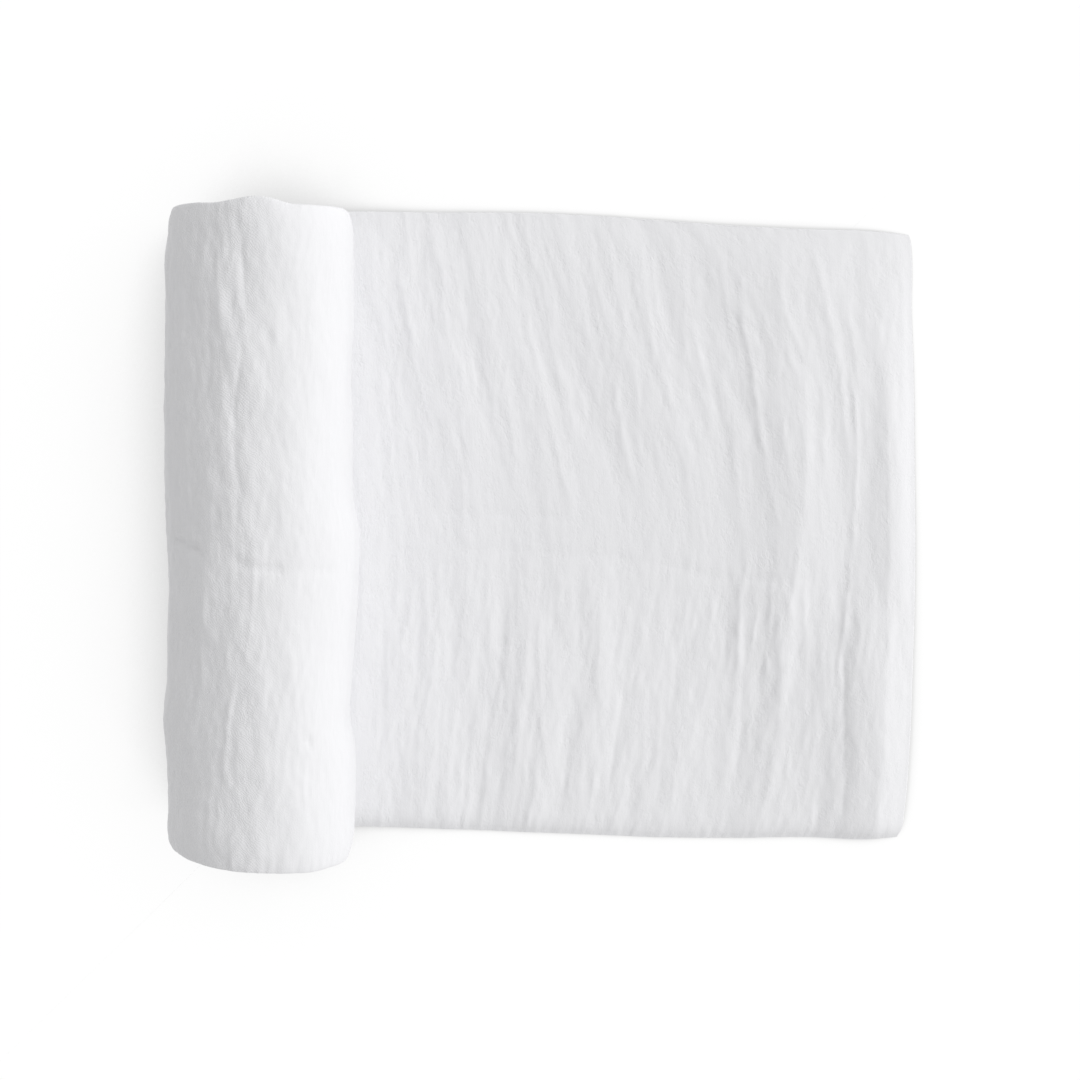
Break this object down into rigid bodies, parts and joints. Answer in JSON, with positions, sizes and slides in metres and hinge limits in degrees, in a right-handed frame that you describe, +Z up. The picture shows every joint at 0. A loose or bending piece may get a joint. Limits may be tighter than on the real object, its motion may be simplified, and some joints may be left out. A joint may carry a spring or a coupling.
{
  "type": "swaddle blanket",
  "caption": "Square muslin baby blanket, folded into a strip and rolled up for most of its length, with a flat loose end.",
  "frame": {"origin": "on the surface the blanket lies on, under the middle of the whole blanket", "axes": "+X from the roll to the loose end, +Y along the roll's axis, +Z up"},
  "size_m": [0.359, 0.3058, 0.0869],
  "materials": {
    "muslin": "matte white open-weave cotton, finely crinkled"
  },
  "bodies": {
    "root": {"swaddle_blanket": "muslin"}
  },
  "joints": []
}
